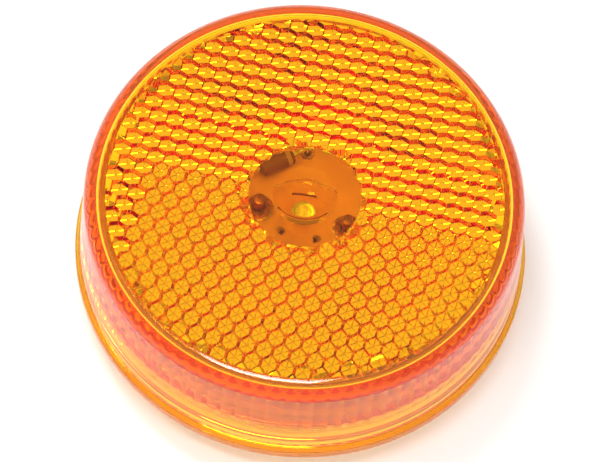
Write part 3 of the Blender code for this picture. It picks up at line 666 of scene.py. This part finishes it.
# length, radius, waist and wire pitch of each part, and its place: x, y and turn
axial_parts = {
    "resistor_1": (6.3, 1.15, 0.96, 9.0, (-11.2, -9.0, 0)),
    "resistor_2": (6.3, 1.15, 0.96, 9.0, (0.0, -11.0, 0)),
    "resistor_3": (6.3, 1.15, 0.96, 9.0, (11.2, -9.0, 0)),
    "blocking_diode": (5.2, 1.35, 1.35, 10.0, (-5.6, 6.9, 40)),
    "surge_diode": (7.0, 1.8, 1.8, 11.0, (9.5, -15.5, 0)),
}
for name, (length, radius, waist, pitch, spot) in axial_parts.items():
    height = BOARD_TOP + LIFT + radius
    points, faces = lathe(body_profile(length, radius, waist), 48)
    body = piece_from(f"{name}_body", laid(points[:, [2, 0, 1]] + (0, 0, height), *spot), faces, 40)
    along = body.data.attributes.new("along", "FLOAT", "POINT")
    along.data.foreach_set("value", (2 * points[:, 2] / length).astype(np.float32))
    wire_points, wire_faces = bent_wire(pitch, height)
    wire = piece_from(f"{name}_wire", laid(wire_points, *spot), wire_faces, 40)
    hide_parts(name)
    coat = "resistor_coating" if "resistor" in name else "black_moulding"
    for part, slot in ((body, coat), (wire, "tinned_wire")):
        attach(part, "root")
        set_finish(part, slot)
LINK_PITCH, LINK_PLACE = 10.0, (-9.5, -15.5)
wire_points, wire_faces = bent_wire(LINK_PITCH, BOARD_TOP + LIFT + WIRE_RADIUS + WIRE_BEND)
link = piece_from("link_wire", wire_points + (*LINK_PLACE, 0), wire_faces, 40)
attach(link, "root")
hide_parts("wire_link")
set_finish(link, "tinned_wire")
print("parts on the board:", ", ".join(axial_parts), "and a wire link")

# %% [markdown]
# ## Pads on the board
#
# Every wire passes through a ring of tinned copper on the board. One ring is turned on
# the lathe and copied to each hole, a little proud of the laminate as the real foil is.

# %% Solder rings
PAD_HOLE, PAD_RADIUS, PAD_HEIGHT, PAD_BREAK = 0.5, 1.05, 0.06, 0.04
wire_holes = [laid(np.array([[side * pitch / 2, 0, 0]]), *spot)[0, :2]
              for _, _, _, pitch, spot in axial_parts.values() for side in (-1, 1)]
wire_holes += [(LINK_PLACE[0] + side * LINK_PITCH / 2, LINK_PLACE[1]) for side in (-1, 1)]
pad_profile = [
    (PAD_HOLE, PAD_HEIGHT),
    (PAD_RADIUS - PAD_BREAK, PAD_HEIGHT),
    (PAD_RADIUS, 0.0),
    (PAD_HOLE, 0.0),
]
pad_points, pad_faces = lathe(pad_profile, 24, closed=True)
spots = np.column_stack([np.array(wire_holes), np.full(len(wire_holes), BOARD_TOP)])
numbers = len(pad_points) * np.arange(len(spots))[:, None]
pads = piece_from("solder_rings", (pad_points[None] + spots[:, None]).reshape(-1, 3),
                  [face for shape in pad_faces for face in (numbers + np.array(shape)).tolist()])
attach(pads, "root")
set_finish(pads, "solder")
print("solder rings:", len(spots))

# %% [markdown]
# ## Finishes that several materials share
#
# Moulded plastic is never one even colour, handled plastic has fine scuffs, and metal
# goes dull in patches. Each of these is a node group with its own inputs, built once and
# placed in every material that needs it. A group gives out only values that change over
# the surface, so the shader itself stays in the material.


# %% Node groups
def new_group(name, inputs, outputs):
    """An empty shader node group with named sockets, and its input and output nodes."""
    tree = bpy.data.node_groups.new(name, "ShaderNodeTree")
    for label, kind in inputs.items():
        tree.interface.new_socket(label, in_out="INPUT", socket_type=f"NodeSocket{kind}")
    for label, kind in outputs.items():
        tree.interface.new_socket(label, in_out="OUTPUT", socket_type=f"NodeSocket{kind}")
    return tree, tree.nodes.new("NodeGroupInput"), tree.nodes.new("NodeGroupOutput")


def noise(tree, vector, scale, detail=3.0):
    """A noise texture on a vector, its scale a number or a socket."""
    node = tree.nodes.new("ShaderNodeTexNoise")
    node.inputs["Detail"].default_value = detail
    tree.links.new(vector, node.inputs["Vector"])
    if isinstance(scale, (int, float)):
        node.inputs["Scale"].default_value = scale
    else:
        tree.links.new(scale, node.inputs["Scale"])
    return node.outputs["Fac"]


def spread(tree, value, low, high, to_low, to_high):
    """Maps a value from one range to another, held at both ends."""
    node = tree.nodes.new("ShaderNodeMapRange")
    for label, number in zip(("From Min", "From Max", "To Min", "To Max"), (low, high, to_low, to_high)):
        node.inputs[label].default_value = number
    tree.links.new(value, node.inputs["Value"])
    return node.outputs["Result"]


def arithmetic(tree, operation, first, second):
    """One Math node on two sockets or numbers."""
    node = tree.nodes.new("ShaderNodeMath")
    node.operation = operation
    for socket, value in zip(node.inputs, (first, second)):
        if isinstance(value, (int, float)):
            socket.default_value = value
        else:
            tree.links.new(value, socket)
    return node.outputs["Value"]


def blend_colours(tree, share, first, second):
    """A Mix node between two colours, each a socket or a tuple."""
    node = tree.nodes.new("ShaderNodeMix")
    node.data_type = "RGBA"
    tree.links.new(share, node.inputs[0])
    for socket, value in ((node.inputs[6], first), (node.inputs[7], second)):
        if isinstance(value, tuple):
            socket.default_value = (*value, 1.0)
        else:
            tree.links.new(value, socket)
    return node.outputs[2]


def moulded_skin():
    """Colour that drifts between two shades, roughness that drifts with it, and a fine grain for a bump."""
    tree, given, result = new_group(
        "moulded_skin",
        {
            "Vector": "Vector",
            "Shade": "Color",
            "Other Shade": "Color",
            "Roughness": "Float",
            "Grain Scale": "Float",
        },
        {"Color": "Color", "Roughness": "Float", "Grain": "Float"},
    )
    drift = noise(tree, given.outputs["Vector"], 220.0)
    share = spread(tree, drift, 0.35, 0.65, 0.0, 1.0)
    colour = blend_colours(tree, share, given.outputs["Shade"], given.outputs["Other Shade"])
    tree.links.new(colour, result.inputs["Color"])
    rough = arithmetic(tree, "MULTIPLY", given.outputs["Roughness"], spread(tree, drift, 0.3, 0.7, 0.8, 1.25))
    tree.links.new(rough, result.inputs["Roughness"])
    tree.links.new(noise(tree, given.outputs["Vector"], given.outputs["Grain Scale"]), result.inputs["Grain"])
    return tree


def scuff_marks():
    """A mask of short fine scuffs: thin bands of a stretched noise, kept only in a few patches."""
    tree, given, result = new_group("scuff_marks", {"Vector": "Vector", "Amount": "Float"}, {"Mask": "Float"})
    stretch = tree.nodes.new("ShaderNodeMapping")
    stretch.inputs["Rotation"].default_value = (0.0, 0.0, 0.6)
    stretch.inputs["Scale"].default_value = (0.12, 1.0, 1.0)
    tree.links.new(given.outputs["Vector"], stretch.inputs["Vector"])
    lines = spread(tree, noise(tree, stretch.outputs["Vector"], 5200.0, 2.0), 0.64, 0.70, 0.0, 1.0)
    patches = spread(tree, noise(tree, given.outputs["Vector"], 90.0, 2.0), 0.55, 0.66, 0.0, 1.0)
    marks = arithmetic(tree, "MULTIPLY", lines, patches)
    tree.links.new(arithmetic(tree, "MULTIPLY", marks, given.outputs["Amount"]), result.inputs["Mask"])
    return tree


def tarnish():
    """Bright metal that turns dull in patches: the same noise gives colour and roughness."""
    tree, given, result = new_group(
        "tarnish",
        {"Vector": "Vector", "Bright": "Color", "Dull": "Color", "Scale": "Float"},
        {"Color": "Color", "Roughness": "Float"},
    )
    cloud = noise(tree, given.outputs["Vector"], given.outputs["Scale"], 5.0)
    patch = spread(tree, cloud, 0.40, 0.62, 0.0, 1.0)
    colour = blend_colours(tree, patch, given.outputs["Bright"], given.outputs["Dull"])
    tree.links.new(colour, result.inputs["Color"])
    tree.links.new(spread(tree, patch, 0.0, 1.0, 0.22, 0.5), result.inputs["Roughness"])
    return tree


skin_group, scuff_group, tarnish_group = moulded_skin(), scuff_marks(), tarnish()
print("node groups:", skin_group.name, scuff_group.name, tarnish_group.name)

# %% [markdown]
# ## Amber plastic
#
# Clear coloured plastic takes its colour from the length of the light's path: the thin
# face looks yellow, and the rim, where light runs along the wall, looks red. A tinted
# surface alone would make both the same, so the shader passes all light and a volume
# absorbs green a little and blue a lot. A tint on the surface stands for the dye's sharp
# cut, which darkens short paths more than a smooth law does. The mirror reflection that
# the surface gives head on is halved, which keeps the face deep in colour.


# %% Amber lens material
def new_material(name, **sockets):
    """A material with plain values on the Principled sockets that are named, and its parts."""
    mat = bpy.data.materials.new(name)
    mat.use_nodes = True
    tree = mat.node_tree
    shader = tree.nodes["Principled BSDF"]
    for label, value in sockets.items():
        shader.inputs[label.replace("_", " ")].default_value = value
    place = tree.nodes.new("ShaderNodeTexCoord").outputs["Object"]
    return mat, tree, shader, place


def use_group(tree, group, place, **values):
    """A group placed in a material, with its own values."""
    node = tree.nodes.new("ShaderNodeGroup")
    node.node_tree = group
    tree.links.new(place, node.inputs["Vector"])
    for label, value in values.items():
        value = (*value, 1.0) if isinstance(value, tuple) else value
        node.inputs[label.replace("_", " ")].default_value = value
    return node


ABSORBED_PER_METRE = 1000.0
PASSED = (0.995, 0.90, 0.45)
SURFACE_GLOSS = 0.5


def clear_plastic(name, shade, other_shade, scuffs, ior, absorbing):
    """Clear resin: all light passes, scuffs spoil the polish, and a volume may absorb colour."""
    mat, tree, shader, place = new_material(name, IOR=ior, Transmission_Weight=1.0)
    shader.inputs["Specular Tint"].default_value = (*3 * (SURFACE_GLOSS,), 1.0)
    shades = {"Shade": shade, "Other_Shade": other_shade}
    skin = use_group(tree, skin_group, place, Roughness=0.0, Grain_Scale=900.0, **shades)
    tree.links.new(skin.outputs["Color"], shader.inputs["Base Color"])
    marks = use_group(tree, scuff_group, place, Amount=scuffs)
    tree.links.new(marks.outputs["Mask"], shader.inputs["Roughness"])
    if absorbing:
        volume = tree.nodes.new("ShaderNodeVolumeAbsorption")
        volume.inputs["Color"].default_value = (*PASSED, 1.0)
        volume.inputs["Density"].default_value = ABSORBED_PER_METRE
        tree.links.new(volume.outputs["Volume"], tree.nodes["Material Output"].inputs["Volume"])
    return mat


AMBER_IOR, RESIN_IOR = 1.58, 1.12
amber = clear_plastic("amber_plastic", (1.0, 0.93, 0.20), (1.0, 0.91, 0.18), 0.10, AMBER_IOR, True)
water_clear = clear_plastic("diode_resin", (1.0, 0.97, 0.90), (1.0, 0.95, 0.86), 0.05, RESIN_IOR, False)
print("share of green kept after 6 mm:", round(math.exp(-6 * (1 - PASSED[1])), 2))

# %% [markdown]
# ## Moulded, coated and metal parts
#
# The base, board, sealing compound and part bodies are all moulded or cast, and share one
# skin with their own colours. The metals share the tarnish. Bands on the resistors and the
# ring on each diode follow the attribute along the body. What lies under the window is
# written redder than such parts are, because it is seen through the amber.


# %% Opaque materials
GRAIN_HEIGHT = 0.1 * MM
DRIFT_OF_COAT = 0.88


def moulded(name, shade, other_shade, roughness, grain, bump, scuffs=0.0):
    """Opaque plastic: the shared skin for colour, roughness and a fine bump, and scuffs on request."""
    mat, tree, shader, place = new_material(name)
    shades = {"Shade": shade, "Other_Shade": other_shade}
    skin = use_group(tree, skin_group, place, Roughness=roughness, Grain_Scale=grain, **shades)
    tree.links.new(skin.outputs["Color"], shader.inputs["Base Color"])
    rough = skin.outputs["Roughness"]
    if scuffs:
        marks = use_group(tree, scuff_group, place, Amount=scuffs)
        rough = arithmetic(tree, "ADD", rough, marks.outputs["Mask"])
    tree.links.new(rough, shader.inputs["Roughness"])
    relief = tree.nodes.new("ShaderNodeBump")
    relief.inputs["Strength"].default_value = bump
    relief.inputs["Distance"].default_value = GRAIN_HEIGHT
    tree.links.new(skin.outputs["Grain"], relief.inputs["Height"])
    tree.links.new(relief.outputs["Normal"], shader.inputs["Normal"])
    return mat


def metal(name, bright, dull, scale):
    """Bare metal with dull patches."""
    mat, tree, shader, place = new_material(name, Metallic=1.0)
    film = use_group(tree, tarnish_group, place, Bright=bright, Dull=dull, Scale=scale)
    tree.links.new(film.outputs["Color"], shader.inputs["Base Color"])
    tree.links.new(film.outputs["Roughness"], shader.inputs["Roughness"])
    return mat


def banded(name, coat, bands, roughness):
    """A coated body with bands: a stepped ramp over the attribute that runs from -1 to 1 along the part."""
    mat = moulded(name, coat, tuple(DRIFT_OF_COAT * c for c in coat), roughness, 2500.0, 0.25)
    tree = mat.node_tree
    shader = tree.nodes["Principled BSDF"]
    along = tree.nodes.new("ShaderNodeAttribute")
    along.attribute_name = "along"
    place = spread(tree, along.outputs["Fac"], -1.0, 1.0, 0.0, 1.0)
    ramp = tree.nodes.new("ShaderNodeValToRGB")
    ramp.color_ramp.interpolation = "CONSTANT"
    stops = [(0.0, (0, 0, 0, 0))]
    for start, end, colour in bands:
        stops += [(start, (*colour, 1)), (end, (0, 0, 0, 0))]
    ramp.color_ramp.elements.remove(ramp.color_ramp.elements[1])
    ramp.color_ramp.elements[0].position, ramp.color_ramp.elements[0].color = stops[0]
    for position, colour in stops[1:]:
        ramp.color_ramp.elements.new(position).color = colour
    tree.links.new(place, ramp.inputs["Fac"])
    skin = next(link.from_socket for link in tree.links if link.to_socket == shader.inputs["Base Color"])
    painted = blend_colours(tree, ramp.outputs["Alpha"], skin, ramp.outputs["Color"])
    tree.links.new(painted, shader.inputs["Base Color"])
    return mat


AMBER_SHADES = (0.90, 0.40, 0.03), (0.87, 0.37, 0.025)
BOARD_SHADES = (0.86, 0.34, 0.28), (0.82, 0.31, 0.25)
COMPOUND_SHADES = (0.035, 0.030, 0.028), (0.05, 0.045, 0.04)
DIODE_COAT, RESISTOR_COAT = (0.30, 0.075, 0.06), (0.62, 0.44, 0.24)
# start and end of each band along the body, from 0 to 1, and its colour
DIODE_BANDS = [(0.76, 0.88, (0.55, 0.28, 0.18))]
RESISTOR_BANDS = [
    (0.18, 0.26, (0.45, 0.18, 0.04)),
    (0.36, 0.44, (0.02, 0.02, 0.02)),
    (0.53, 0.61, (0.55, 0.02, 0.02)),
    (0.74, 0.82, (0.60, 0.42, 0.10)),
]
finishes = {
    "amber_base": moulded("amber_base_plastic", *AMBER_SHADES, 0.30, 1800.0, 0.2, 0.25),
    "board_laminate": moulded("laminate", *BOARD_SHADES, 0.45, 3200.0, 0.15),
    "sealing_compound": moulded("cured_compound", *COMPOUND_SHADES, 0.35, 700.0, 0.5),
    "black_moulding": banded("diode_body", DIODE_COAT, DIODE_BANDS, 0.4),
    "resistor_coating": banded("resistor_coat", RESISTOR_COAT, RESISTOR_BANDS, 0.35),
    "tinned_brass": metal("tinned_brass", (0.48, 0.16, 0.09), (0.32, 0.10, 0.06), 600.0),
    "solder": metal("solder_metal", (0.58, 0.28, 0.24), (0.42, 0.19, 0.16), 900.0),
    "tinned_wire": metal("tinned_wire", (0.74, 0.73, 0.70), (0.52, 0.50, 0.46), 900.0),
}
silver = metal("silver_plate", (0.90, 0.86, 0.78), (0.62, 0.55, 0.46), 1500.0)
own_finish = {
    "lens_shell": amber,
    "led_resin_block": water_clear,
    "led_cup": silver,
    "led_die": silver,
    # The dark brass finish on the anvil is painted shade for the slit between the lead-frame pads.
    "led_anvil": finishes["tinned_brass"],
    **{f"led_lead_{number}": finishes["solder"] for number in (1, 2, 3, 4)},
}
slots = {part["node"]: part["material_slot"] for part in frame["record"]["subparts"]}
dressed = []
for obj in list(scene.objects):
    slot = slots.get(obj.name, obj.get("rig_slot"))
    finish = own_finish.get(obj.name, finishes.get(slot))
    if obj.type == "MESH" and finish:
        obj.data.materials.clear()
        obj.data.materials.append(finish)
        dressed.append(obj.name)
print("dressed pieces:", len(dressed))

# %% [markdown]
# ## Floor, light and background
#
# The lamp lies on a pale floor. The photograph's background is white, so rays from the
# camera, and rays that come off gloss or through plastic, also see the floor glow a
# little, and the light on the lamp stays plain.

# %% Floor
FLOOR_HALF, GLOW = 20.0, 0.02
PAPER, PAPER_SHADE, PAPER_SCALE = (0.90, 0.90, 0.90), (0.88, 0.88, 0.88), 6.0
WHITE = (1.0, 1.0, 1.0, 1.0)
floor = bpy.data.objects.new("floor", bpy.data.meshes.new("floor"))
corners = FLOOR_HALF * np.array([(-1, -1, 0), (1, -1, 0), (1, 1, 0), (-1, 1, 0)])
floor.data.from_pydata(corners.tolist(), [], [[0, 1, 2, 3]])
scene.collection.objects.link(floor)
paper, tree, shader, place = new_material("paper_floor", Roughness=0.9)
paper_tone = blend_colours(tree, noise(tree, place, PAPER_SCALE), PAPER, PAPER_SHADE)
tree.links.new(paper_tone, shader.inputs["Base Color"])
rays = tree.nodes.new("ShaderNodeLightPath")
seen = arithmetic(tree, "MAXIMUM", rays.outputs["Is Camera Ray"], rays.outputs["Is Glossy Ray"])
seen = arithmetic(tree, "MAXIMUM", seen, rays.outputs["Is Transmission Ray"])
shader.inputs["Emission Color"].default_value = WHITE
tree.links.new(arithmetic(tree, "MULTIPLY", seen, GLOW), shader.inputs["Emission Strength"])
floor.data.materials.append(paper)
print("floor side in metres:", 2 * FLOOR_HALF)

# %% [markdown]
# A plain white surround lights the lamp from every side. It is a little brighter round
# the camera and brighter still low on the near side, because cube corners return light
# only to where it comes from. Low down on the other sides it is dimmer, which keeps the
# wall deep in colour, and a grey patch stands where the flat face mirrors the surround.

# %% Surround
SURROUND, NEAR_SURROUND, FRONT_SURROUND, PATCH_SURROUND, LOW_SURROUND = 1.0, 1.6, 1.06, 0.45, 0.4
NEAR_EDGES, NOT_NEAR_EDGES, HEIGHT_EDGES = (0.70, 0.92), (0.30, 0.80), (0.10, 0.45)
FRONT_ANGLES, PATCH_ANGLES = (42, 24), (32, 16)

world = bpy.data.worlds.new("studio")
scene.world = world
world.use_nodes = True
tree = world.node_tree
direction = tree.nodes.new("ShaderNodeTexCoord").outputs["Generated"]


def toward(axis, low, high):
    """A smooth step over how closely a direction points along an axis, from 0 at low to 1 at high."""
    dot = tree.nodes.new("ShaderNodeVectorMath")
    dot.operation = "DOT_PRODUCT"
    dot.inputs[1].default_value = axis
    tree.links.new(direction, dot.inputs[0])
    step = tree.nodes.new("ShaderNodeMapRange")
    step.interpolation_type = "SMOOTHSTEP"
    step.inputs["From Min"].default_value, step.inputs["From Max"].default_value = low, high
    tree.links.new(dot.outputs["Value"], step.inputs["Value"])
    return step.outputs["Result"]


def within(axis, angles):
    """A smooth step from 0 at the wider angle off an axis to 1 at the narrower one, in degrees."""
    return toward(axis, *(math.cos(math.radians(angle)) for angle in angles))


def inverse(share):
    """One minus a share."""
    return arithmetic(tree, "SUBTRACT", 1.0, share)


near, up = tuple(-ahead), (0.0, 0.0, 1.0)
mirrored = (-to_camera[0], -to_camera[1], to_camera[2])
not_near, low_down = inverse(toward(near, *NOT_NEAR_EDGES)), inverse(toward(up, *HEIGHT_EDGES))
zones = [
    (toward(near, *NEAR_EDGES), NEAR_SURROUND),
    (within(tuple(to_camera), FRONT_ANGLES), FRONT_SURROUND),
    (within(mirrored, PATCH_ANGLES), PATCH_SURROUND),
    (arithmetic(tree, "MULTIPLY", not_near, low_down), LOW_SURROUND),
]
radiance = SURROUND
for share, level in zones:
    radiance = arithmetic(tree, "ADD", arithmetic(tree, "MULTIPLY", share, level - SURROUND), radiance)
tree.links.new(radiance, tree.nodes["Background"].inputs["Strength"])
tree.nodes["Background"].inputs["Color"].default_value = WHITE
print("zones of the surround:", len(zones))

# %% [markdown]
# Three lamps hang a metre up. A strip overhead lights the rim, and a larger card just
# above it, which only gloss sees, widens the white arc that the strip draws there. A lamp
# at the side lights the chamfers on the far ridges as dashes. Gloss doesn't see that one,
# because it would draw a second streak on the rim.

# %% Lamps
LAMP_HEIGHT = 1.0
STRIP_PLACE, STRIP_SIZE, STRIP_LIGHT = (-0.05, -0.28), (0.40, 0.10), 24.0
CARD_SHIFT, CARD_LIFT, CARD_SIZE, CARD_LIGHT = 0.04, 0.01, (0.44, 0.30), 20.0
DASH_PLACE, DASH_SIZE, DASH_LIGHT = (-0.30, 0.18), (0.30, 0.14), 30.0


def area_lamp(name, place, size, light):
    """A level rectangle that shines down; its power is radiance times area times pi."""
    lamp = bpy.data.objects.new(name, bpy.data.lights.new(name, "AREA"))
    lamp.data.shape = "RECTANGLE"
    lamp.data.size, lamp.data.size_y = size
    lamp.data.energy = light * size[0] * size[1] * math.pi
    lamp.location = place
    scene.collection.objects.link(lamp)
    return lamp


overhead = area_lamp("overhead", (*STRIP_PLACE, LAMP_HEIGHT), STRIP_SIZE, STRIP_LIGHT)
dash_lamp = area_lamp("dash_lamp", (*DASH_PLACE, LAMP_HEIGHT), DASH_SIZE, DASH_LIGHT)
dash_lamp.visible_glossy = False
card_place = (STRIP_PLACE[0], STRIP_PLACE[1] + CARD_SHIFT, LAMP_HEIGHT + CARD_LIFT)
highlight = area_lamp("highlight", card_place, CARD_SIZE, CARD_LIGHT)
highlight.visible_diffuse = highlight.visible_transmission = False
highlight.visible_volume_scatter = False
print("overhead lamp in watts:", round(overhead.data.energy, 2))

# %% [markdown]
# ## Last settings
#
# Light may turn many times between the prisms before it leaves, so the bounce limits are
# raised. The picture keeps plain colours, with no film curve over them.

# %% Settings, sizes and finish
scene.view_settings.view_transform = "Standard"
scene.cycles.max_bounces = 32
scene.cycles.transmission_bounces = 32
scene.cycles.glossy_bounces = 24
scene.cycles.diffuse_bounces = 6
